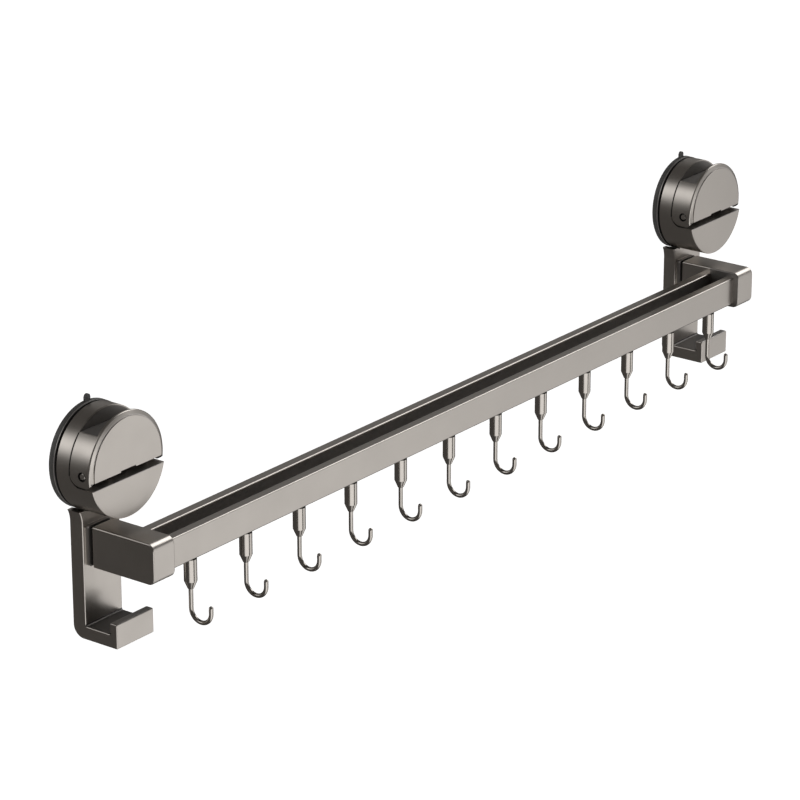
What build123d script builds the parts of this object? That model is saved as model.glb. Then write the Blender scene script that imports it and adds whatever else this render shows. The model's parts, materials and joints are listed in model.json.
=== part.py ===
from build123d import *
import math
import os

# Kitchen utensil rail: two lever-operated suction mounts carry a U-shaped rail with sliding hooks.
# Millimetres. Origin on the wall, midway between the two mounts' axes and at their height.
# +X runs along the rail, -Y points into the room, +Z is up. The wall is the plane Y = 0.

# Overall layout
MOUNT_X = 310.2
DISC_R = 32.5

# Depths of the layers of a mount, counted from the wall
CUP_FRONT = -5.48
RING_FRONT = -6.31
DRUM_REAR = -7.34
WEB_BACK = -14.0
WEB_FRONT = -17.5
PLATE_BACK = -29.8
BEVEL_BACK = -31.5
DISC_FRONT = -32.77
BEVEL_IN = 28.6

# Suction cup
CUP_R = 33.45
CUP_RIM_Y = -2.3
CUP_FOOT_R = 31.5
SEAL_IN_R = 25.0
CUP_HOLLOW = 1.8
TAB_W = 6.2
TAB_TOP = 35.5
TAB_Y = -3.6
TAB_T = 2.2

# Backing ring
RING_R = 32.6
SPIGOT_R = 31.0
RING_HOLE_R = 12.0

# Drum housing
SHELL_T = 2.5
NOSE_T = 3.0
SLIT_FLOOR = -8.9
BUSH_R = 7.5
BUSH_BACK = -10.4
STUD_GAP = 0.08
POST_R = 3.6
POST_X = 6.5
POST_Z = -22.5

# Draw stud and hinge pin
STUD_R = 4.0
FLANGE_R = 8.5
FLANGE_BACK = -4.4
FLANGE_FRONT = -6.0
FLANGE_ROOM = 1.3
PIN_Y = -25.7
PIN_Z = -1.0
PIN_R = 2.0
PIN_GAP = 0.05
PIN_HALF = 31.3
SINK_R = 2.7
SINK_X = 30.9
EYE_R = 3.6
EYE_HALF = 4.0

# Flip lever
LEVER_LOW = -3.6
BLOCK_TOP = 21.5
BLOCK_BACK = -17.8
BLOCK_LOW = -7.9
HEEL_R = 7.4
TOE_R = 7.5
TOP_WALL = 2.5
CAVITY_HALF = 22.5
CHEEK_IN = 6.5
CHEEK_OUT = 9.0
NOTCH_W = 13.0
NOTCH_H = 1.2

# Bracket
BRACKET_HALF = 16.16
BRACKET_BACK = -0.37
BRACKET_FRONT = -10.24
FLARE_Z = -39.0
HORN_X = 18.1
HORN_Z = -31.1
SADDLE_R = 34.0
FOOT_LOW = -111.2
FOOT_FLOOR = -102.7
LIP_FRONT = -34.45
LIP_BACK = -29.05
LIP_TOP = -95.5
HEEL_ROUND = 7.75
TONGUE_HALF = 10.5
TONGUE_TOP = -16.0

# Arm and its boss
ARM_LEFT = -14.11
ARM_RIGHT = 4.43
ARM_REAR = -14.67
ARM_FRONT = -61.63
ARM_TOP = -39.94
ARM_LOW = -64.98
ARM_ROUND = 2.8
BOSS_FRONT = -13.3
NECK_INSET = 1.1

# Rail
RAIL_FRONT = -57.25
FRONT_WALL_BACK = -50.55
REAR_WALL_FRONT = -38.33
RAIL_BACK = -31.29
RAIL_TOP = -43.96
RAIL_LOW = -62.81
RAIL_FLOOR_T = 2.0
RAIL_SEAT = 3.0
SEAT_GAP = 0.1
WALL_T = 1.3
CHAMBER_W = 4.4
CHAMBER_H = 5.0
LIP_T = 1.5
SLOT_W = 3.4

# Hooks
HOOK_COUNT = 12
HOOK_PITCH = 50.29
HOOK_MID = -6.2
FERRULE_R = 4.0
FERRULE_TOP = -63.1
FERRULE_LOW = -77.1
TAPER_LOW = -82.0
WIRE_R = 1.4
WIRE_TOP = -70.0
BEND_R = 7.6
BEND_Z = -94.2
TIP_Z = -91.0
SLIDER_LEN = 14.0
SLIDER_GAP = 0.1
SHANK_R = 1.5
SHANK_LOW = -68.0

# Screws
ARM_SCREW_R = 2.0
ARM_HEAD_R = 3.8
ARM_HEAD_H = 2.4
ARM_SCREW_SINK = 1.0
ARM_SCREW_END = -27.0
NECK_SCREW_R = 1.25
NECK_HEAD_R = 2.4
NECK_HEAD_H = 1.2
NECK_SCREW_END = -18.0
SCREW_GAP = 0.2
DRIVE_R = 1.0
DRIVE_DEPTH = 0.7

# Derived
ARM_MID_X = (ARM_LEFT + ARM_RIGHT) / 2
ARM_MID_Z = (ARM_TOP + ARM_LOW) / 2
HOOK_Y = (RAIL_FRONT + FRONT_WALL_BACK) / 2
RAIL_START = -MOUNT_X + ARM_RIGHT - RAIL_SEAT
RAIL_END = MOUNT_X + ARM_LEFT + RAIL_SEAT


def block(x0, x1, y0, y1, z0, z1):
    """Box between two corners, in any order of the limits."""
    size = (abs(x1 - x0), abs(y1 - y0), abs(z1 - z0))
    middle = ((x0 + x1) / 2, (y0 + y1) / 2, (z0 + z1) / 2)
    return Pos(*middle) * Box(*size)


def round_bar(radius, y0, y1, x=0.0, z=0.0):
    """Cylinder along Y."""
    return Pos(x, (y0 + y1) / 2, z) * Rot(90, 0, 0) * Cylinder(radius, abs(y1 - y0))


def cross_bar(radius, x0, x1, y, z):
    """Cylinder along X."""
    return Pos((x0 + x1) / 2, y, z) * Rot(0, 90, 0) * Cylinder(radius, abs(x1 - x0))


def turned(points, close=True):
    """Solid turned about the Y axis from points given as radius and Y."""
    with BuildPart() as shape:
        with BuildSketch(Plane.XY):
            with BuildLine():
                Polyline(*points, close=close)
            make_face()
        revolve(axis=Axis.Y)
    return shape.part


def side_profile(points, x0, x1):
    """Prism along X from points given as Y and Z."""
    with BuildPart() as shape:
        with BuildSketch(Plane.YZ.offset(x0)):
            with BuildLine():
                Polyline(*points, close=True)
            make_face()
        extrude(amount=x1 - x0)
    return shape.part


def edges_along(shape, axis, test):
    """Straight edges parallel to an axis whose middle passes the test."""
    return [e for e in shape.edges().filter_by(axis) if test(e.center())]


def near(value, target, reach=0.02):
    return abs(value - target) < reach


def suction_cup():
    """Soft cup: flat sealing ring at the wall, hollow middle, rounded rim, pull tab on top."""
    pocket_r = FLANGE_R + 0.7
    pocket_floor = FLANGE_BACK + FLANGE_ROOM
    dome_r = (SEAL_IN_R ** 2 + CUP_HOLLOW ** 2) / (2 * CUP_HOLLOW)
    dome_mid = -CUP_HOLLOW + dome_r - math.sqrt(dome_r ** 2 - (SEAL_IN_R / 2) ** 2)
    with BuildPart() as shape:
        with BuildSketch(Plane.XY):
            with BuildLine():
                Line((0, pocket_floor), (pocket_r, pocket_floor))
                Line((pocket_r, pocket_floor), (pocket_r, CUP_FRONT))
                Line((pocket_r, CUP_FRONT), (CUP_R - 0.5, CUP_FRONT))
                ThreePointArc((CUP_R - 0.5, CUP_FRONT), (CUP_R, CUP_RIM_Y - 0.9), (CUP_R - 0.15, CUP_RIM_Y + 0.5))
                Line((CUP_R - 0.15, CUP_RIM_Y + 0.5), (CUP_FOOT_R, 0))
                Line((CUP_FOOT_R, 0), (SEAL_IN_R, 0))
                ThreePointArc((SEAL_IN_R, 0), (SEAL_IN_R / 2, dome_mid), (0, -CUP_HOLLOW))
                Line((0, -CUP_HOLLOW), (0, pocket_floor))
            make_face()
        revolve(axis=Axis.Y)
    tab_low = CUP_R - 2.0
    tab = block(-TAB_W / 2, TAB_W / 2, TAB_Y, TAB_Y + TAB_T, tab_low, TAB_TOP - TAB_W / 2)
    tab += round_bar(TAB_W / 2, TAB_Y, TAB_Y + TAB_T, 0, TAB_TOP - TAB_W / 2)
    return shape.part + tab


def backing_ring():
    """Thin ring that clamps the cup to the drum, with a smaller spigot on its front."""
    hole = RING_HOLE_R
    inner = SPIGOT_R - 3.5
    return turned([
        (hole, CUP_FRONT), (RING_R, CUP_FRONT), (RING_R, RING_FRONT), (SPIGOT_R, RING_FRONT),
        (SPIGOT_R, DRUM_REAR), (inner, DRUM_REAR), (inner, RING_FRONT), (hole, RING_FRONT),
    ])


def drum_housing():
    """Round housing: open at the back, full depth below the lever, a web behind the lever above."""
    in_r = DISC_R - SHELL_T
    body = round_bar(DISC_R, DRUM_REAR, WEB_FRONT)
    nose = round_bar(DISC_R, WEB_FRONT, DISC_FRONT)
    nose_face = nose.faces().sort_by(Axis.Y)[0]
    nose = chamfer(nose_face.edges(), 0.35)
    nose -= block(-40, 40, WEB_FRONT + 1, DISC_FRONT - 1, SLIT_FLOOR, 40)
    body += nose
    body -= round_bar(in_r, DRUM_REAR, WEB_BACK)
    core = round_bar(in_r, WEB_BACK, DISC_FRONT + NOSE_T)
    core -= block(-40, 40, WEB_BACK + 1, DISC_FRONT - 1, SLIT_FLOOR - NOSE_T, 40)
    body -= core
    body += round_bar(BUSH_R, BUSH_BACK, WEB_FRONT)
    body -= round_bar(STUD_R + STUD_GAP, DRUM_REAR, WEB_FRONT - 1)
    for side in (-1, 1):
        post = round_bar(POST_R, BRACKET_FRONT, DISC_FRONT + NOSE_T, side * POST_X, POST_Z)
        body += post
        body -= round_bar(NECK_SCREW_R, BRACKET_FRONT, NECK_SCREW_END, side * POST_X, POST_Z)
    notch_half = TONGUE_HALF + 0.3
    body -= block(-notch_half, notch_half, DRUM_REAR + 1, BRACKET_FRONT, -40, TONGUE_TOP + 0.3)
    return body


def flip_lever():
    """Half-round lever: bevelled front plate, block with pin ears behind it, hollow from the back."""
    plate = block(-40, 40, PLATE_BACK, DISC_FRONT, LEVER_LOW, 40)
    toe = side_profile([
        (BLOCK_BACK, BLOCK_TOP), (PLATE_BACK, BLOCK_TOP), (PLATE_BACK, BLOCK_LOW), (BLOCK_BACK, BLOCK_LOW),
    ], -40, 40)
    heel_edges = edges_along(toe, Axis.X, lambda c: near(c.Y, BLOCK_BACK) and near(c.Z, BLOCK_LOW))
    toe = fillet(heel_edges, HEEL_R)
    lever = plate + toe
    lower_front = block(-40, 40, PIN_Y, DISC_FRONT - 1, BLOCK_LOW - 1, PIN_Z)
    round_front = cross_bar(TOE_R, -40, 40, PIN_Y, PIN_Z)
    lever -= lower_front - round_front
    hollow_top = BLOCK_TOP - TOP_WALL
    for x0, x1 in ((-CAVITY_HALF, -CHEEK_OUT), (-CHEEK_IN, CHEEK_IN), (CHEEK_OUT, CAVITY_HALF)):
        lever -= block(x0, x1, BLOCK_BACK + 1, PLATE_BACK, BLOCK_LOW - 1, hollow_top)
    for side in (-1, 1):
        cheek_cut = block(side * (CHEEK_IN - 1), side * (CHEEK_OUT + 1), BLOCK_BACK + 1, PLATE_BACK, 9, hollow_top)
        lever -= cheek_cut
    lever -= block(-NOTCH_W / 2, NOTCH_W / 2, PLATE_BACK + 5, DISC_FRONT - 1, LEVER_LOW - 8, LEVER_LOW + NOTCH_H)
    rim = turned([
        (0, DRUM_REAR), (DISC_R, DRUM_REAR), (DISC_R, BEVEL_BACK), (BEVEL_IN, DISC_FRONT), (0, DISC_FRONT),
    ])
    lever = lever & rim
    lever -= cross_bar(PIN_R, -40, 40, PIN_Y, PIN_Z)
    for side in (-1, 1):
        lever -= cross_bar(SINK_R, side * SINK_X, side * 40, PIN_Y, PIN_Z)
    return lever


def hinge_pin():
    """Pin pressed into the lever's ears and running in the stud's eye."""
    pin = cross_bar(PIN_R, -PIN_HALF, PIN_HALF, PIN_Y, PIN_Z)
    ends = pin.edges().filter_by(GeomType.CIRCLE)
    return chamfer(ends, 0.3)


def draw_stud():
    """Stud: flange in the cup, round shank in the drum's bush, flat eye on the hinge pin."""
    eye_back = PIN_Y + EYE_R
    stud = round_bar(FLANGE_R, FLANGE_BACK, FLANGE_FRONT)
    stud += round_bar(STUD_R, FLANGE_FRONT, eye_back)
    eye = cross_bar(EYE_R, -EYE_HALF, EYE_HALF, PIN_Y, PIN_Z)
    eye += block(-EYE_HALF, EYE_HALF, PIN_Y, eye_back + 1.0, PIN_Z - EYE_R, PIN_Z + EYE_R)
    stud += eye
    stud -= cross_bar(PIN_R + PIN_GAP, -10, 10, PIN_Y, PIN_Z)
    return stud


def bracket():
    """Cast plate with a tongue into the drum, the arm's boss and a J-shaped foot."""
    body = side_profile([
        (BRACKET_BACK, -28), (BRACKET_BACK, FOOT_LOW), (LIP_FRONT, FOOT_LOW), (LIP_FRONT, LIP_TOP),
        (LIP_BACK, LIP_TOP), (LIP_BACK, FOOT_FLOOR), (BRACKET_FRONT, FOOT_FLOOR), (BRACKET_FRONT, -28),
    ], -20, 20)
    heel = edges_along(body, Axis.X, lambda c: near(c.Y, BRACKET_BACK) and near(c.Z, FOOT_LOW))
    body = fillet(heel, HEEL_ROUND)
    toe = edges_along(body, Axis.X, lambda c: near(c.Y, LIP_FRONT) or near(c.Z, LIP_TOP))
    body = fillet(toe, 0.9)
    slot = edges_along(body, Axis.X, lambda c: near(c.Z, FOOT_FLOOR))
    body = fillet(slot, 1.0)
    with BuildPart() as outline:
        with BuildSketch(Plane.XZ.offset(-1)):
            with BuildLine():
                Line((-BRACKET_HALF, FOOT_LOW - 1), (-BRACKET_HALF, FLARE_Z))
                Spline((-BRACKET_HALF, FLARE_Z), (-HORN_X, HORN_Z), tangents=((0, 1), (-0.5, 1)))
                Line((-HORN_X, HORN_Z), (HORN_X, HORN_Z))
                Spline((HORN_X, HORN_Z), (BRACKET_HALF, FLARE_Z), tangents=((-0.5, -1), (0, -1)))
                Line((BRACKET_HALF, FLARE_Z), (BRACKET_HALF, FOOT_LOW - 1))
                Line((BRACKET_HALF, FOOT_LOW - 1), (-BRACKET_HALF, FOOT_LOW - 1))
            make_face()
        extrude(amount=40)
    body = body & outline.part
    front_sides = edges_along(body, Axis.Z, lambda c: near(c.Y, BRACKET_FRONT))
    body = fillet(front_sides, 0.8)
    body -= round_bar(SADDLE_R, BRACKET_BACK + 1, LIP_FRONT - 1)
    boss = block(ARM_LEFT, ARM_RIGHT, BRACKET_FRONT, BOSS_FRONT, ARM_TOP, ARM_LOW)
    boss_edges = edges_along(boss, Axis.Y, lambda c: True)
    body += fillet(boss_edges, 1.6)
    body += block(
        ARM_LEFT + NECK_INSET, ARM_RIGHT - NECK_INSET, BOSS_FRONT, ARM_REAR,
        ARM_TOP - NECK_INSET, ARM_LOW + NECK_INSET,
    )
    tongue = block(-TONGUE_HALF, TONGUE_HALF, DRUM_REAR, BRACKET_FRONT, -36, TONGUE_TOP)
    body += tongue
    head_y = BRACKET_BACK - ARM_SCREW_SINK
    body -= round_bar(ARM_HEAD_R + SCREW_GAP, 1, head_y, ARM_MID_X, ARM_MID_Z)
    body -= countersunk(ARM_SCREW_R + SCREW_GAP, ARM_HEAD_R + SCREW_GAP, ARM_HEAD_H, head_y, -20, ARM_MID_X, ARM_MID_Z)
    for side in (-1, 1):
        body -= countersunk(
            NECK_SCREW_R + SCREW_GAP, NECK_HEAD_R, NECK_HEAD_H, DRUM_REAR, BRACKET_FRONT - 1,
            side * POST_X, POST_Z,
        )
    return body


def countersunk(shank_r, head_r, head_h, head_y, end_y, x, z):
    """Shape of a countersunk screw along -Y, with its head at head_y."""
    cone = turned([
        (0, head_y), (head_r, head_y), (shank_r, head_y - head_h), (shank_r, end_y), (0, end_y),
    ])
    return Pos(x, 0, z) * cone


def screw(shank_r, head_r, head_h, head_y, end_y, x, z):
    """Countersunk screw with a round drive recess."""
    shape = countersunk(shank_r, head_r, head_h, head_y, end_y, x, z)
    return shape - round_bar(DRIVE_R, head_y + 1, head_y - DRIVE_DEPTH, x, z)


def rail_outline(gap, x0, x1):
    """U-shaped outer form of the rail, grown by a gap on every side."""
    return side_profile([
        (RAIL_FRONT - gap, RAIL_TOP + gap), (FRONT_WALL_BACK + gap, RAIL_TOP + gap),
        (FRONT_WALL_BACK + gap, RAIL_LOW + RAIL_FLOOR_T + gap),
        (REAR_WALL_FRONT - gap, RAIL_LOW + RAIL_FLOOR_T + gap),
        (REAR_WALL_FRONT - gap, RAIL_TOP + gap), (RAIL_BACK + gap, RAIL_TOP + gap),
        (RAIL_BACK + gap, RAIL_LOW - gap), (RAIL_FRONT - gap, RAIL_LOW - gap),
    ], x0, x1)


def arm(seat_side):
    """Arm with a pocket for the rail's end on the side given as -1 or 1."""
    body = block(ARM_LEFT, ARM_RIGHT, ARM_REAR, ARM_FRONT, ARM_TOP, ARM_LOW)
    front = edges_along(body, Axis.X, lambda c: near(c.Y, ARM_FRONT))
    body = fillet(front, ARM_ROUND)
    rest = [e for e in body.edges() if not near(e.center().Y, ARM_REAR)]
    body = fillet(rest, 0.7)
    if seat_side > 0:
        body -= rail_outline(SEAT_GAP, ARM_RIGHT - RAIL_SEAT, ARM_RIGHT + 1)
    else:
        body -= rail_outline(SEAT_GAP, ARM_LEFT - 1, ARM_LEFT + RAIL_SEAT)
    body -= round_bar(ARM_SCREW_R, ARM_REAR + 1, ARM_SCREW_END, ARM_MID_X, ARM_MID_Z)
    return body


def rail():
    """Extrusion: two hollow walls joined by a floor, an undercut slot below the front wall."""
    body = rail_outline(0, RAIL_START, RAIL_END)
    top = edges_along(body, Axis.X, lambda c: near(c.Z, RAIL_TOP))
    body = fillet(top, 0.9)
    low = edges_along(body, Axis.X, lambda c: near(c.Z, RAIL_LOW))
    body = fillet(low, 0.5)
    chamber_low = RAIL_LOW + LIP_T
    chamber_top = chamber_low + CHAMBER_H
    x0 = RAIL_START - 1
    x1 = RAIL_END + 1
    body -= block(x0, x1, HOOK_Y - CHAMBER_W / 2, HOOK_Y + CHAMBER_W / 2, chamber_low, chamber_top)
    body -= block(x0, x1, HOOK_Y - SLOT_W / 2, HOOK_Y + SLOT_W / 2, RAIL_LOW - 1, chamber_low + 1)
    hollow_low = chamber_top + WALL_T
    hollow_top = RAIL_TOP - WALL_T
    body -= block(x0, x1, RAIL_FRONT + WALL_T, FRONT_WALL_BACK - WALL_T, hollow_low, hollow_top)
    rear_low = RAIL_LOW + WALL_T
    body -= block(x0, x1, REAR_WALL_FRONT + WALL_T, RAIL_BACK - WALL_T, rear_low, hollow_top)
    return body


def slider(x):
    """T-head in the rail's slot, with a flat neck and a round shank into the ferrule."""
    head_low = RAIL_LOW + LIP_T + SLIDER_GAP
    head_half = CHAMBER_W / 2 - SLIDER_GAP
    neck_half = SLOT_W / 2 - SLIDER_GAP
    head = block(
        x - SLIDER_LEN / 2, x + SLIDER_LEN / 2, HOOK_Y - head_half, HOOK_Y + head_half,
        head_low, head_low + CHAMBER_H - 2 * SLIDER_GAP,
    )
    neck = block(x - neck_half, x + neck_half, HOOK_Y - neck_half, HOOK_Y + neck_half, FERRULE_TOP, head_low)
    shank_middle = (FERRULE_TOP + SHANK_LOW) / 2
    shank = Pos(x, HOOK_Y, shank_middle) * Cylinder(SHANK_R, FERRULE_TOP - SHANK_LOW)
    return head + neck + shank


def ferrule(x):
    """Sleeve with a tapered lower end, bored from above for the slider and from below for the wire."""
    with BuildPart() as shape:
        with BuildSketch(Plane.XZ):
            with BuildLine():
                Polyline(
                    (0, SHANK_LOW), (SHANK_R, SHANK_LOW), (SHANK_R, FERRULE_TOP), (FERRULE_R, FERRULE_TOP),
                    (FERRULE_R, FERRULE_LOW), (WIRE_R + 0.5, TAPER_LOW), (WIRE_R, TAPER_LOW),
                    (WIRE_R, WIRE_TOP), (0, WIRE_TOP), close=True,
                )
            make_face()
        revolve(axis=Axis.Z)
    return Pos(x, HOOK_Y, 0) * shape.part


def wire(x):
    """Bent hook: straight stem, half-round bend towards the room, short tip with a rounded end."""
    tip_y = HOOK_Y - 2 * BEND_R
    with BuildPart() as shape:
        with BuildLine(Plane.YZ) as path:
            Line((HOOK_Y, WIRE_TOP), (HOOK_Y, BEND_Z))
            ThreePointArc((HOOK_Y, BEND_Z), (HOOK_Y - BEND_R, BEND_Z - BEND_R), (tip_y, BEND_Z))
            Line((tip_y, BEND_Z), (tip_y, TIP_Z))
        with BuildSketch(Plane(origin=(0, HOOK_Y, WIRE_TOP), z_dir=(0, 0, -1))):
            Circle(WIRE_R)
        sweep(path=path.line)
        with Locations((0, tip_y, TIP_Z)):
            Sphere(WIRE_R)
    return Pos(x, 0, 0) * shape.part


def mount_pieces(seat_side):
    """Name and solid of each piece of one mount, built about X = 0."""
    arm_head_y = BRACKET_BACK - ARM_SCREW_SINK
    return {
        "suction_cup": suction_cup(),
        "backing_ring": backing_ring(),
        "drum_housing": drum_housing(),
        "flip_lever": flip_lever(),
        "hinge_pin": hinge_pin(),
        "draw_stud": draw_stud(),
        "bracket": bracket(),
        "neck_screw_a": screw(
            NECK_SCREW_R, NECK_HEAD_R, NECK_HEAD_H, DRUM_REAR, NECK_SCREW_END, -POST_X, POST_Z),
        "neck_screw_b": screw(
            NECK_SCREW_R, NECK_HEAD_R, NECK_HEAD_H, DRUM_REAR, NECK_SCREW_END, POST_X, POST_Z),
        "arm": arm(seat_side),
        "arm_screw": screw(
            ARM_SCREW_R, ARM_HEAD_R, ARM_HEAD_H, arm_head_y, ARM_SCREW_END, ARM_MID_X, ARM_MID_Z),
    }


def save(shape, name):
    solids = shape.solids()
    piece = solids[0] if len(solids) == 1 else Compound(solids)
    piece.label = name
    export_step(piece, os.path.join("parts", name + ".step"))


os.makedirs("parts", exist_ok=True)
for prefix, mount_x, seat_side in (("left_", -MOUNT_X, 1), ("right_", MOUNT_X, -1)):
    for name, shape in mount_pieces(seat_side).items():
        save(Pos(mount_x, 0, 0) * shape, prefix + name)

save(rail(), "rail")

for n in range(HOOK_COUNT):
    hook_x = HOOK_MID + (n - (HOOK_COUNT - 1) / 2) * HOOK_PITCH
    number = str(n + 1).zfill(2)
    save(slider(hook_x), "hook_" + number + "_slider")
    save(ferrule(hook_x), "hook_" + number + "_ferrule")
    save(wire(hook_x), "hook_" + number + "_wire")
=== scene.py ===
import json
import math

import bmesh
import bpy
from mathutils import Euler, Matrix


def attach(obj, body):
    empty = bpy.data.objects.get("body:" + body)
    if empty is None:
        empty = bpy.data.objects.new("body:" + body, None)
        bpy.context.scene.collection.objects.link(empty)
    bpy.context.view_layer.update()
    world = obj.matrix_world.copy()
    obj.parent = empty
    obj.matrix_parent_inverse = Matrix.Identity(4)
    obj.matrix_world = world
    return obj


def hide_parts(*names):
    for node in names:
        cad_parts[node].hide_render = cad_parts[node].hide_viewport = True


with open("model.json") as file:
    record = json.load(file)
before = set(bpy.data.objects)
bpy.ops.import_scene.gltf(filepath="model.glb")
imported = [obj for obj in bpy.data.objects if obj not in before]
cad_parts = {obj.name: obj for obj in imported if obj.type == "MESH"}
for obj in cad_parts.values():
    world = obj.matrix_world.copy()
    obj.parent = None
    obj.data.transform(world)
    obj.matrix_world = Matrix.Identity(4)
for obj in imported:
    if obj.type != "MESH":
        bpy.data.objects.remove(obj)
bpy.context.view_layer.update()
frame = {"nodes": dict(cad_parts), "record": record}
nodes = frame["nodes"]
slot_of = {part["node"]: part["material_slot"] for part in frame["record"]["subparts"]}

# Sizes of the mounts, in millimetres. X and Z are counted from a mount's axis, and Y from the wall at 0
# to the room, which is the minus side. The photograph has these axes lower than the CAD solids do.
MM = 0.001
MOUNT_X = 310.2
AXIS_DROP = 1.3
DISC_R = 32.0
FACE = -32.77
BEYOND = 40.0

CUP_R = 32.4
CUP_WIDEST_Y = -1.4
CUP_NECK_R = 32.1
CUP_FRONT = -3.9
CUP_EDGE = 0.5
SEAL_R = 31.4
HOLLOW_R = 25.0
HOLLOW_DEPTH = 1.8
HOLLOW_STEPS = 5
CUP_BOSS_R = 11.5
CUP_BOSS_FRONT = -5.9
POCKET_R = 9.2
POCKET_FLOOR = -3.1
TAB_R = 2.2
TAB_TOP = 36.5
TAB_ROOT = 30.4
TAB_FRONT = -3.0
TAB_BACK = -1.5

RING_R = 32.3
RING_FRONT = -5.0
RING_EDGE = 0.3
RING_HOLE_R = 12.0
SPIGOT_R = 30.7
SPIGOT_BORE_R = 27.2

DRUM_REAR = -6.3
DRUM_REAR_EDGE = 0.15
DRUM_FACE_EDGE = 0.5
STUD_BORE_R = 4.1
WEB_FRONT = -16.2
SLIT_FLOOR = -7.7
HEEL_ROOM_R = 8.6
HEEL_ROOM_SHIFT = 1.0
TONGUE_HALF = 10.8
TONGUE_FRONT = -10.24
TONGUE_TOP = -15.7

PIN_Y = -25.7
PIN_Z = 0.3
PIN_R = 2.0
PIN_HALF = 31.6
PIN_EDGE = 0.3
PIN_STEPS = 48

PLATE_BACK = -29.8
LEVER_LOW = -3.3
BLANK_FRONT = -34.0
BLANK_LOW = -2.4
BLOCK_TOP = 22.8
BLOCK_BACK = -16.5
BLOCK_LOW = -6.6
BLOCK_WALL = 2.5
HEEL_R = 7.0
TOE_R = 7.4
EAR_SKIN = 2.3
CAVITY_HALF = 22.5
CHEEK_TOP = 10.0
CHEEK_IN = 6.5
CHEEK_OUT = 9.0
NOTCH_TOP = -2.1
RIM_ROUND = 1.0
RIM_ROUND_Y = -30.448
BEVEL_TURN = 66.2
BEVEL_FRONT = -32.2
GROOVE_R = 29.5
GROOVE_FLOOR = -32.0
FACE_R = 28.9
SINK_R = 2.7
SINK_X = 30.4

ARM_LEFT = -14.11
ARM_RIGHT = 4.43
ARM_REAR = -14.67
ARM_FRONT = -61.63
ARM_TOP = -38.64
ARM_LOW = -64.1
ARM_ROUND = 4.8
ARM_EDGE = 0.9
LEFT_ARM_SHIFT = (0.6, -0.4, 0)
SLIDER_ROOM = (2.5, BEYOND, -56.8, -51.0, -60.0, -54.6)

SHARP_EDGE = math.radians(28)
GUN_METAL = (0.53, 0.495, 0.458)


# Materials

class Mat:
    """A node material with a Principled shader and short helpers for its textures."""

    def __init__(self, name, **values):
        self.material = bpy.data.materials.new(name)
        self.material.use_nodes = True
        self.tree = self.material.node_tree
        self.shader = self.tree.nodes["Principled BSDF"]
        for socket, value in values.items():
            self.shader.inputs[socket.replace("_", " ")].default_value = value
        self.coords = self.tree.nodes.new("ShaderNodeTexCoord").outputs["Object"]
        self.height = None

    def node(self, kind, **values):
        made = self.tree.nodes.new(kind)
        for key, value in values.items():
            if key in made.inputs:
                made.inputs[key].default_value = value
            else:
                setattr(made, key, value)
        return made

    def link(self, a, b):
        self.tree.links.new(a, b)

    def math(self, operation, *values):
        made = self.node("ShaderNodeMath", operation=operation)
        for socket, value in zip(made.inputs, values):
            if hasattr(value, "is_output"):
                self.link(value, socket)
            else:
                socket.default_value = value
        return made.outputs[0]

    def noise(self, scale, detail=3.0, stretch=(1, 1, 1)):
        """Noise in object space; scale is cells per metre along an unstretched axis."""
        mapping = self.node("ShaderNodeMapping")
        mapping.inputs["Scale"].default_value = stretch
        self.link(self.coords, mapping.inputs["Vector"])
        made = self.node("ShaderNodeTexNoise", Scale=scale, Detail=detail, Roughness=0.55)
        self.link(mapping.outputs["Vector"], made.inputs["Vector"])
        return made.outputs["Fac"]

    def remap(self, source, low, high, start=0.35, end=0.65):
        """Value that runs from low to high while the source runs from start to end."""
        made = self.node("ShaderNodeMapRange")
        for key, value in zip(("From Min", "From Max", "To Min", "To Max"), (start, end, low, high)):
            made.inputs[key].default_value = value
        self.link(source, made.inputs["Value"])
        return made.outputs["Result"]

    def mix(self, factor, a, b):
        """Colour between a and b by a factor socket; a and b are colours or sockets."""
        made = self.node("ShaderNodeMix", data_type="RGBA")
        self.link(factor, made.inputs["Factor"])
        for key, value in ((6, a), (7, b)):
            if hasattr(value, "is_output"):
                self.link(value, made.inputs[key])
            else:
                made.inputs[key].default_value = (*value, 1)
        return made.outputs[2]

    def position(self):
        """Places on a mount in millimetres.

        y and z are the mount's own, across and aside are the distance right of its axis with and without
        a sign (mirrored on the left mount), r and pin are the distances from its axis and its hinge pin."""
        split = self.node("ShaderNodeSeparateXYZ")
        self.link(self.coords, split.inputs[0])
        x, y, z = (self.math("DIVIDE", value, MM) for value in split.outputs)
        z = self.math("ADD", z, AXIS_DROP)
        across = self.math("SUBTRACT", self.math("ABSOLUTE", x), MOUNT_X)

        def distance(a, b):
            squares = [self.math("MULTIPLY", value, value) for value in (a, b)]
            return self.math("SQRT", self.math("ADD", *squares))

        pin = distance(self.math("SUBTRACT", y, PIN_Y), self.math("SUBTRACT", z, PIN_Z))
        aside = self.math("ABSOLUTE", across)
        return {"y": y, "z": z, "across": across, "aside": aside, "r": distance(across, z), "pin": pin}

    def within(self, place, limits, soft=0.2):
        """1 where each named coordinate lies between its two limits, fading out over a short way."""
        total = 1.0
        for key, (low, high) in limits.items():
            for edge, inside in ((low, soft), (high, -soft)):
                if edge is not None:
                    part = self.remap(place[key], 0, 1, edge - inside, edge + inside)
                    total = self.math("MULTIPLY", part, total)
        return total

    def bump(self, source, distance, strength=1.0):
        made = self.node("ShaderNodeBump", Distance=distance, Strength=strength)
        self.link(source, made.inputs["Height"])
        if self.height is not None:
            self.link(self.height, made.inputs["Normal"])
        self.height = made.outputs["Normal"]
        self.link(self.height, self.shader.inputs["Normal"])

    def colour(self, socket):
        self.link(socket, self.shader.inputs["Base Color"])

    def roughness(self, socket):
        self.link(socket, self.shader.inputs["Roughness"])


def scaled(colour, k):
    return tuple(c * k for c in colour)


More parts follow.
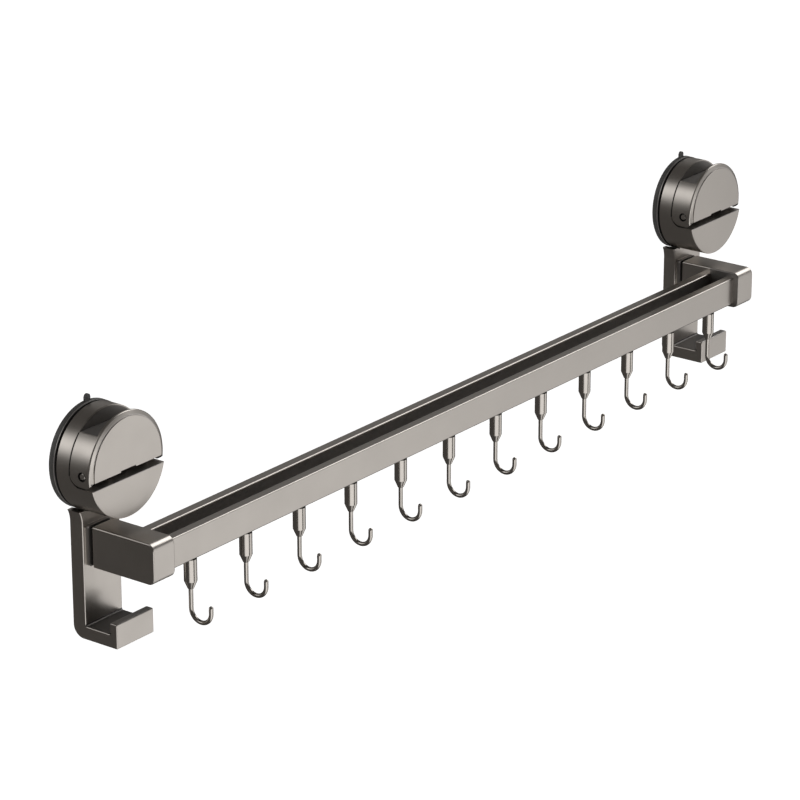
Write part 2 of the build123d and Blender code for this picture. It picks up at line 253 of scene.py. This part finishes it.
def satin_metal(name, colour, rough, metallic=1.0, grain=0.0, grain_axis=0, painted_shade=None):
    """Satin gun-grey metal: soft cloudy tone, fine blasted grain, optional drawn lines.

    Each painted-shade entry is a darker tone, a roughness and the limits within which they hold: painted
    shade in hollows, grooves and gaps."""
    m = Mat(name, Metallic=metallic)
    fine = m.noise(2600, detail=2)
    base = m.mix(m.remap(m.noise(14, detail=2), 0, 1), scaled(colour, 0.98), scaled(colour, 1.02))
    base = m.mix(m.remap(fine, 0, 0.2), base, scaled(colour, 0.94))
    satin = m.remap(m.noise(60), rough - 0.02, rough + 0.02)
    if painted_shade:
        position = m.position()
        # Painted shade: within each entry's limits the colour is darkened to a warm dark tone and the
        # roughness changes.
        for tone, place_rough, limits in painted_shade.values():
            inside = m.within(position, limits)
            base = m.mix(inside, base, scaled((1.0, 0.95, 0.91), tone))
            satin = m.math("ADD", satin, m.math("MULTIPLY", inside, place_rough - rough))
    m.colour(base)
    m.roughness(satin)
    m.bump(fine, 0.000006, 0.15)
    if grain:
        stretch = [1, 1, 1]
        stretch[grain_axis] = 0.012
        m.bump(m.noise(4200, detail=2, stretch=stretch), 0.000008, grain)
    return m.material


def rubber(name):
    """Dark rubber with a soft bloom of lighter patches and a finely textured moulded skin."""
    m = Mat(name, Metallic=0.0, Sheen_Weight=0.15, Sheen_Roughness=0.4)
    fine = m.noise(1800)
    m.colour(m.mix(m.remap(m.noise(40), 0, 1), (0.110, 0.108, 0.104), (0.135, 0.132, 0.128)))
    m.roughness(m.remap(fine, 0.38, 0.50))
    m.bump(fine, 0.000015, 0.3)
    return m.material


def plastic(name, dark, light, rough):
    m = Mat(name, Metallic=0.0)
    fine = m.noise(1500, detail=2)
    m.colour(m.mix(m.remap(m.noise(30, detail=2), 0, 1), dark, light))
    m.roughness(m.remap(fine, rough - 0.05, rough + 0.05))
    m.bump(fine, 0.000015, 0.3)
    return m.material


# Painted shade on the housing and lever: darker on the web and the block's top behind the lever, on the
# slit's floor, in the seam behind the block, in the gap round the pin, in the groove round the face and on
# the ears' toes, where shade falls.
housing_painted_shade = {
    "web behind the lever": (0.27, 0.5, {"y": (WEB_FRONT - 1.8, WEB_FRONT + 0.2), "r": (None, 31.2)}),
    "top of the block": (0.22, 0.5, {"y": (PLATE_BACK + 0.2, BLOCK_BACK + 1.5),
                                     "z": (BLOCK_TOP - 0.6, BLOCK_TOP + 0.3), "r": (None, 31.4)}),
    "floor of the slit": (0.45, 0.5, {"y": (None, WEB_FRONT - 0.3),
                                      "z": (SLIT_FLOOR - 0.4, SLIT_FLOOR + 0.3), "r": (None, 31.4)}),
    "seam behind the block": (0.05, 0.5, {"y": (WEB_FRONT - 0.6, WEB_FRONT + 0.4),
                                          "z": (-1.0, BLOCK_TOP - 0.2), "r": (31.2, None)}),
    "gap round the pin": (0.04, 0.5, {"pin": (PIN_R - 0.1, SINK_R + 0.2), "aside": (28.5, None)}),
    "groove round the face": (0.62, 0.5, {"y": (GROOVE_FLOOR - 0.5, GROOVE_FLOOR + 0.3),
                                          "r": (FACE_R - 0.2, GROOVE_R + 0.2), "z": (8.0, None)}),
    "toes of the ears": (0.15, 0.5, {"pin": (6.2, 8.1), "z": (-7.4, -3.2), "r": (None, 31.0)}),
}
# Painted shade on the rail: darker in the trough and along the lower edge.
rail_painted_shade = {
    "trough": (0.42, 0.5, {"y": (-50.75, -38.15), "z": (-60.0, -44.5)}),
    "lower edge": (0.10, 0.5, {"z": (-62.0, -60.95)}),
}
# Painted shade on the brackets and arms: darker on the foot's floor, on the flanks of the arm's boss, in the
# gap between boss and arm, on the right arm's side beside the rail and on the lip's top.
bracket_painted_shade = {
    "floor of the foot": (0.13, 0.45, {"y": (-30.0, -10.0), "z": (-101.6, -100.3)}),
    "flanks of the arm's boss": (0.33, 0.5, {"y": (-13.4, -10.6), "z": (-64.5, -38.0)}),
    "gap between boss and arm": (0.08, 0.5, {"y": (-14.9, -13.2), "z": (-64.5, -38.0)}),
    "right arm beside the rail": (0.30, 0.5, {"y": (-61.3, -38.0), "z": (-67.0, -38.0),
                                              "across": (ARM_LEFT - 0.49, ARM_LEFT + 0.61)}),
    "top of the lip": (0.28, 0.45, {"y": (-35.0, -28.5), "z": (-94.5, -94.0)}),
}
# Painted shade on the ring: darker in the groove before the housing.
ring_painted_shade = {
    "groove before the housing": (0.05, 0.5, {"y": (DRUM_REAR - 0.7, RING_FRONT + 0.3)}),
}

finishes = {
    "cup_rubber": rubber("cup rubber"),
    "ring_plastic": satin_metal("ring", (0.46, 0.44, 0.42), 0.36, metallic=0.5, painted_shade=ring_painted_shade),
    "housing_metal": satin_metal("housing metal", GUN_METAL, 0.30, painted_shade=housing_painted_shade),
    "bracket_metal": satin_metal("bracket metal", GUN_METAL, 0.31, painted_shade=bracket_painted_shade),
    "rail_aluminium": satin_metal("rail aluminium", GUN_METAL, 0.31, grain=0.15, painted_shade=rail_painted_shade),
    "hook_steel": satin_metal("hook steel", scaled(GUN_METAL, 1.02), 0.16, grain=0.15, grain_axis=2),
    "slider_plastic": plastic("slider plastic", (0.02, 0.02, 0.021), (0.03, 0.03, 0.032), 0.45),
    "pin_steel": satin_metal("pin steel", scaled(GUN_METAL, 1.05), 0.34),
    "screw_steel": satin_metal("screw steel", (0.62, 0.61, 0.60), 0.25),
}
for name, obj in nodes.items():
    material = finishes[slot_of[name]]
    if obj.material_slots:
        for slot in obj.material_slots:
            slot.material = material
    else:
        obj.data.materials.append(material)


# Mesh tools

def solid(verts, faces):
    """Closed mesh object with outward normals."""
    mesh = bpy.data.meshes.new("piece")
    mesh.from_pydata(verts, [], faces)
    work = bmesh.new()
    work.from_mesh(mesh)
    bmesh.ops.remove_doubles(work, verts=work.verts, dist=1e-5)
    bmesh.ops.recalc_face_normals(work, faces=work.faces)
    work.to_mesh(mesh)
    work.free()
    obj = bpy.data.objects.new("piece", mesh)
    bpy.context.scene.collection.objects.link(obj)
    return obj


def lathe(profile, steps=192):
    """Solid turned about the Y axis from a closed profile of radius and Y."""
    verts = []
    for i in range(steps):
        c, s = math.cos(math.tau * i / steps), math.sin(math.tau * i / steps)
        verts += [(r * c, y, r * s) for r, y in profile]
    n = len(profile)
    faces = []
    for i in range(steps):
        a, b = i * n, (i + 1) % steps * n
        for j in range(n):
            k = (j + 1) % n
            if profile[j][0] or profile[k][0]:
                faces.append((a + j, a + k, b + k, b + j))
    return solid(verts, faces)


def prism(points, low, high, along="x"):
    """Prism along X from points of Y and Z, or along Y from points of X and Z."""
    def at(point, t):
        return (t, *point) if along == "x" else (point[0], t, point[1])

    n = len(points)
    verts = [at(p, low) for p in points] + [at(p, high) for p in points]
    faces = [tuple(range(n)), tuple(range(n, 2 * n))]
    faces += [(i, (i + 1) % n, n + (i + 1) % n, n + i) for i in range(n)]
    return solid(verts, faces)


def box(x0, x1, y0, y1, z0, z1):
    return prism([(y0, z0), (y1, z0), (y1, z1), (y0, z1)], x0, x1)


def arc(centre, radius, start, end, steps=12):
    """Points on an arc, from one angle in degrees to another."""
    turn = [math.radians(start + (end - start) * i / steps) for i in range(steps + 1)]
    return [(centre[0] + radius * math.cos(a), centre[1] + radius * math.sin(a)) for a in turn]


def apply_modifier(body):
    bpy.context.view_layer.update()
    made = bpy.data.meshes.new_from_object(body.evaluated_get(bpy.context.evaluated_depsgraph_get()))
    body.modifiers.clear()
    body.data = made


def merge(body, tool, operation="DIFFERENCE"):
    """Joins, cuts or intersects a solid with another, which is used up."""
    change = body.modifiers.new("merge", "BOOLEAN")
    change.operation = operation
    change.solver = "EXACT"
    change.object = tool
    apply_modifier(body)
    bpy.data.objects.remove(tool)


# Fine pieces of a mount, which replace their CAD nodes

def make_cup():
    """Rubber cup: hollow sealing face, rounded rim, boss round the stud's pocket, and pull tab."""
    boss = [(0, POCKET_FLOOR), (POCKET_R, POCKET_FLOOR), (POCKET_R, CUP_BOSS_FRONT),
            (CUP_BOSS_R, CUP_BOSS_FRONT), (CUP_BOSS_R, CUP_FRONT)]
    rim = [(CUP_NECK_R - CUP_EDGE, CUP_FRONT), (CUP_NECK_R - 0.15, CUP_FRONT + 0.15),
           (CUP_NECK_R, CUP_FRONT + CUP_EDGE), (CUP_R, CUP_WIDEST_Y),
           (CUP_R - 0.1, CUP_WIDEST_Y + CUP_EDGE), (SEAL_R, 0)]
    shares = [1 - step / HOLLOW_STEPS for step in range(HOLLOW_STEPS + 1)]
    hollow = [(HOLLOW_R * share, -HOLLOW_DEPTH * (1 - share ** 2)) for share in shares]
    cup = lathe([*boss, *rim, *hollow])
    round_end = arc((0, TAB_TOP - TAB_R), TAB_R, 180, 0)
    tab = prism([(-TAB_R, TAB_ROOT), *round_end, (TAB_R, TAB_ROOT)], TAB_FRONT, TAB_BACK, "y")
    merge(cup, tab, "UNION")
    return cup


def make_ring():
    """Plastic ring behind the housing, with a rounded edge and a spigot that leaves a groove."""
    return lathe([
        (RING_HOLE_R, CUP_FRONT), (RING_R - RING_EDGE, CUP_FRONT), (RING_R, CUP_FRONT - 0.25),
        (RING_R, RING_FRONT + RING_EDGE), (RING_R - RING_EDGE, RING_FRONT), (SPIGOT_R, RING_FRONT),
        (SPIGOT_R, DRUM_REAR), (SPIGOT_BORE_R, DRUM_REAR), (SPIGOT_BORE_R, RING_FRONT),
        (RING_HOLE_R, RING_FRONT),
    ])


def make_drum():
    """Round housing cut away for the lever: web behind it, slit below it, cheeks curved round its heel."""
    drum = lathe([
        (STUD_BORE_R, DRUM_REAR), (DISC_R - DRUM_REAR_EDGE, DRUM_REAR), (DISC_R, DRUM_REAR - DRUM_REAR_EDGE),
        (DISC_R, FACE + DRUM_FACE_EDGE), (DISC_R - 0.15, FACE + 0.2), (DISC_R - DRUM_FACE_EDGE, FACE),
        (STUD_BORE_R, FACE),
    ])
    room = (PIN_Y + HEEL_ROOM_SHIFT, PIN_Z)
    start = -math.degrees(math.acos((WEB_FRONT - room[0]) / HEEL_ROOM_R))
    end = math.degrees(math.asin((SLIT_FLOOR - room[1]) / HEEL_ROOM_R))
    lever_space = [(-BEYOND, BEYOND), (WEB_FRONT, BEYOND), *arc(room, HEEL_ROOM_R, start, end),
                   (-BEYOND, SLIT_FLOOR)]
    merge(drum, prism(lever_space, -BEYOND, BEYOND))
    merge(drum, box(-CAVITY_HALF, CAVITY_HALF, -BEYOND, WEB_FRONT, SLIT_FLOOR, CHEEK_TOP))
    merge(drum, box(-TONGUE_HALF, TONGUE_HALF, DRUM_REAR + 1, TONGUE_FRONT, -BEYOND, TONGUE_TOP))
    return drum


def make_lever():
    """Half-round lever: raised face in a bevelled, grooved rim, block with the pin's ears behind it."""
    toe_start = 180 + math.degrees(math.asin((PIN_Z - LEVER_LOW) / TOE_R))
    toe_end = 180 + math.degrees(math.asin((PIN_Z - BLOCK_LOW) / TOE_R))
    toe = arc((PIN_Y, PIN_Z), TOE_R, toe_start, toe_end)
    heel = arc((BLOCK_BACK - HEEL_R, BLOCK_LOW + HEEL_R), HEEL_R, -90, 0)
    lever = prism([(BLOCK_BACK, BLOCK_TOP), (PLATE_BACK, BLOCK_TOP), (PLATE_BACK, BEYOND),
                   (BLANK_FRONT, BEYOND), (BLANK_FRONT, BLANK_LOW), *toe, *heel], -BEYOND, BEYOND)
    low = BLOCK_LOW - 1
    behind = BLOCK_BACK + 1
    between_ears = DISC_R - EAR_SKIN
    merge(lever, box(-between_ears, between_ears, -BEYOND, PIN_Y + 0.5, low, LEVER_LOW))
    merge(lever, box(-CAVITY_HALF, CAVITY_HALF, PLATE_BACK, behind, CHEEK_TOP, BLOCK_TOP - BLOCK_WALL))
    for x0, x1 in ((-CAVITY_HALF, -CHEEK_OUT), (-CHEEK_IN, CHEEK_IN), (CHEEK_OUT, CAVITY_HALF)):
        merge(lever, box(x0, x1, PLATE_BACK, behind, low, CHEEK_TOP + 0.5))
    merge(lever, box(-CHEEK_IN, CHEEK_IN, -BEYOND, PLATE_BACK + 1, low, NOTCH_TOP))
    rim = arc((DISC_R - RIM_ROUND, RIM_ROUND_Y), RIM_ROUND, 0, -BEVEL_TURN, 6)
    groove = [(GROOVE_R, BEVEL_FRONT), (GROOVE_R, GROOVE_FLOOR), (FACE_R + 0.1, GROOVE_FLOOR),
              (FACE_R, GROOVE_FLOOR - 0.1)]
    face_edge = [(FACE_R, FACE + 0.17), (FACE_R - 0.06, FACE + 0.05), (FACE_R - 0.2, FACE)]
    outline = [(0, DRUM_REAR), (DISC_R, DRUM_REAR), *rim, *groove, *face_edge, (0, FACE)]
    merge(lever, lathe(outline), "INTERSECT")
    sink = arc((PIN_Y, PIN_Z), SINK_R, 0, 360 * (1 - 1 / PIN_STEPS), PIN_STEPS - 1)
    merge(lever, prism(sink, -BEYOND, -SINK_X))
    merge(lever, prism(sink, SINK_X, BEYOND))
    return lever


def make_pin():
    """Hinge pin with a small chamfer at both ends."""
    pin = lathe([(0, -PIN_HALF), (PIN_R - PIN_EDGE, -PIN_HALF), (PIN_R, PIN_EDGE - PIN_HALF),
                 (PIN_R, PIN_HALF - PIN_EDGE), (PIN_R - PIN_EDGE, PIN_HALF), (0, PIN_HALF)], PIN_STEPS)
    pin.data.transform(Matrix.Translation((0, PIN_Y, PIN_Z)) @ Matrix.Rotation(math.pi / 2, 4, "Z"))
    return pin


def make_arm():
    """Arm with a well rounded nose and softened edges."""
    nose_y = ARM_FRONT + ARM_ROUND
    arm = prism([(ARM_REAR, ARM_TOP), *arc((nose_y, ARM_TOP - ARM_ROUND), ARM_ROUND, 90, 180),
                 *arc((nose_y, ARM_LOW + ARM_ROUND), ARM_ROUND, 180, 270), (ARM_REAR, ARM_LOW)],
                ARM_LEFT, ARM_RIGHT)
    bevel = arm.modifiers.new("edges", "BEVEL")
    bevel.width = ARM_EDGE
    bevel.segments = 4
    bevel.limit_method = "ANGLE"
    bevel.angle_limit = math.radians(40)
    apply_modifier(arm)
    return arm


def fit_left_arm(arm):
    """Gives the first hook's slider room in the arm, and stands the arm where the photograph has it."""
    merge(arm, box(*SLIDER_ROOM))
    arm.data.transform(Matrix.Translation(LEFT_ARM_SHIFT))


def fit_mounts():
    """Puts the fine pieces of both mounts in place of their CAD nodes."""
    makers = {"suction_cup": make_cup, "backing_ring": make_ring, "drum_housing": make_drum,
              "flip_lever": make_lever, "hinge_pin": make_pin, "arm": make_arm}
    for node, make in makers.items():
        for side, x in (("left", -MOUNT_X), ("right", MOUNT_X)):
            name = f"{side}_{node}"
            piece = make()
            if name == "left_arm":
                fit_left_arm(piece)
            piece.name = name + "_fine"
            piece.data.transform(Matrix.Scale(MM, 4) @ Matrix.Translation((x, 0, -AXIS_DROP)))
            piece.data.shade_smooth()
            piece.data.set_sharp_from_angle(angle=SHARP_EDGE)
            piece.modifiers.new("flat faces", "WEIGHTED_NORMAL").keep_sharp = True
            apply_modifier(piece)
            piece.data.materials.append(finishes[slot_of[name]])
            moves = node in ("flip_lever", "hinge_pin")
            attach(piece, side + "_lever" if moves else "rail_and_mounts")
            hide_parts(name)


# Studio

def studio_world():
    """Soft studio light as smooth bright zones of the world, and plain white for the camera."""
    world = bpy.data.worlds.new("studio")
    bpy.context.scene.world = world
    world.use_nodes = True
    tree = world.node_tree
    tree.nodes.clear()
    direction = tree.nodes.new("ShaderNodeTexCoord").outputs["Generated"]

    def math_node(kind, *values):
        made = tree.nodes.new("ShaderNodeMath")
        made.operation = kind
        for socket, value in zip(made.inputs, values):
            if hasattr(value, "is_output"):
                tree.links.new(value, socket)
            else:
                socket.default_value = value
        return made.outputs[0]

    def toward(x, y, z):
        """How far a direction points along an axis, from -1 to 1."""
        made = tree.nodes.new("ShaderNodeVectorMath")
        made.operation = "DOT_PRODUCT"
        tree.links.new(direction, made.inputs[0])
        length = math.sqrt(x * x + y * y + z * z)
        made.inputs[1].default_value = (x / length, y / length, z / length)
        return made.outputs["Value"]

    def ramp(axis, low, high, least=0.0):
        """Soft step up to 1 for directions along an axis; below low it gives the least value."""
        made = tree.nodes.new("ShaderNodeMapRange")
        made.interpolation_type = "SMOOTHSTEP"
        tree.links.new(toward(*axis), made.inputs["Value"])
        made.inputs["From Min"].default_value = low
        made.inputs["From Max"].default_value = high
        made.inputs["To Min"].default_value = least
        return made.outputs["Result"]

    def zone(strength, *ramps):
        """Light of a strength in the directions where all its ramps are at 1."""
        light = strength
        for values in ramps:
            light = math_node("MULTIPLY", ramp(*values), light)
        return light

    def background(colour, strength):
        made = tree.nodes.new("ShaderNodeBackground")
        made.inputs["Color"].default_value = (*colour, 1)
        if hasattr(strength, "is_output"):
            tree.links.new(strength, made.inputs["Strength"])
        else:
            made.inputs["Strength"].default_value = strength
        return made.outputs[0]

    left, right, front = (-1, 0, 0), (1, 0, 0), (0, -1, 0)
    upper_edge = ((-0.35, 0, 1), 0.09, -0.03)
    zones = [
        # broad low light on the room's side, right: weaker to the far right, with a slanting upper edge
        zone(0.94, (front, -0.10, 0.25), (right, 0.30, 0.48), (right, 0.83, 0.75, 0.37), upper_edge),
        # the same on the left: the gap between them draws the dark stripe on round upright pieces
        zone(1.15, (front, 0.20, 0.50), (left, -0.11, -0.03), upper_edge),
        # small lamp straight in front
        zone(1.0, ((0.12, -0.99, 0.02), 0.965, 0.992)),
        # strip on the wall's side, upper left: the bright band on round flanks
        zone(1.38, ((0, 1.086, 1), 0.48, 0.725), (left, 0.38, 0.61)),
        # high right key: the light line on rounded upper edges
        zone(2.6, ((0.7456, -0.10, 0.65), 0.925, 0.970)),
        # weak fill from the far right: upward faces
        zone(0.12, ((0.75, 0.55, 0.38), 0.90, 0.99)),
    ]
    total = zones[0]
    for light in zones[1:]:
        total = math_node("ADD", total, light)

    both = tree.nodes.new("ShaderNodeAddShader")
    tree.links.new(background((1, 1, 1), total), both.inputs[0])
    tree.links.new(background((1, 0.95, 0.90), 0.08), both.inputs[1])
    mixer = tree.nodes.new("ShaderNodeMixShader")
    tree.links.new(tree.nodes.new("ShaderNodeLightPath").outputs["Is Camera Ray"], mixer.inputs[0])
    tree.links.new(both.outputs[0], mixer.inputs[1])
    tree.links.new(background((1, 1, 1), 1.0), mixer.inputs[2])
    out = tree.nodes.new("ShaderNodeOutputWorld")
    tree.links.new(mixer.outputs[0], out.inputs["Surface"])


def studio_floor():
    """Plain white floor below the rail; what it shows to the camera is lifted to white."""
    bpy.ops.mesh.primitive_plane_add(size=16, location=(0, 0, -0.32))
    floor = bpy.context.object
    floor.name = "floor"
    floor.visible_glossy = False
    floor.visible_shadow = False
    material = bpy.data.materials.new("floor")
    material.use_nodes = True
    tree = material.node_tree
    shader = tree.nodes["Principled BSDF"]
    shader.inputs["Base Color"].default_value = (0.85, 0.85, 0.85, 1)
    shader.inputs["Roughness"].default_value = 0.9
    shader.inputs["Emission Color"].default_value = (1, 1, 1, 1)
    path = tree.nodes.new("ShaderNodeLightPath")
    lift = tree.nodes.new("ShaderNodeMath")
    lift.operation = "MULTIPLY"
    lift.inputs[1].default_value = 0.82
    tree.links.new(path.outputs["Is Camera Ray"], lift.inputs[0])
    tree.links.new(lift.outputs[0], shader.inputs["Emission Strength"])
    floor.data.materials.append(material)


def camera():
    """The photograph's own view."""
    data = bpy.data.cameras.new("camera")
    data.sensor_width = 36
    data.lens = 162.13
    data.clip_start = 0.05
    data.clip_end = 50
    cam = bpy.data.objects.new("camera", data)
    cam.location = (-1.74144, -1.32239, 0.74344)
    cam.rotation_euler = Euler([math.radians(a) for a in (69.820, 0.0794, -52.6306)])
    bpy.context.scene.collection.objects.link(cam)
    bpy.context.scene.camera = cam


fit_mounts()
studio_world()
studio_floor()
camera()
bpy.context.scene.view_settings.view_transform = "Standard"
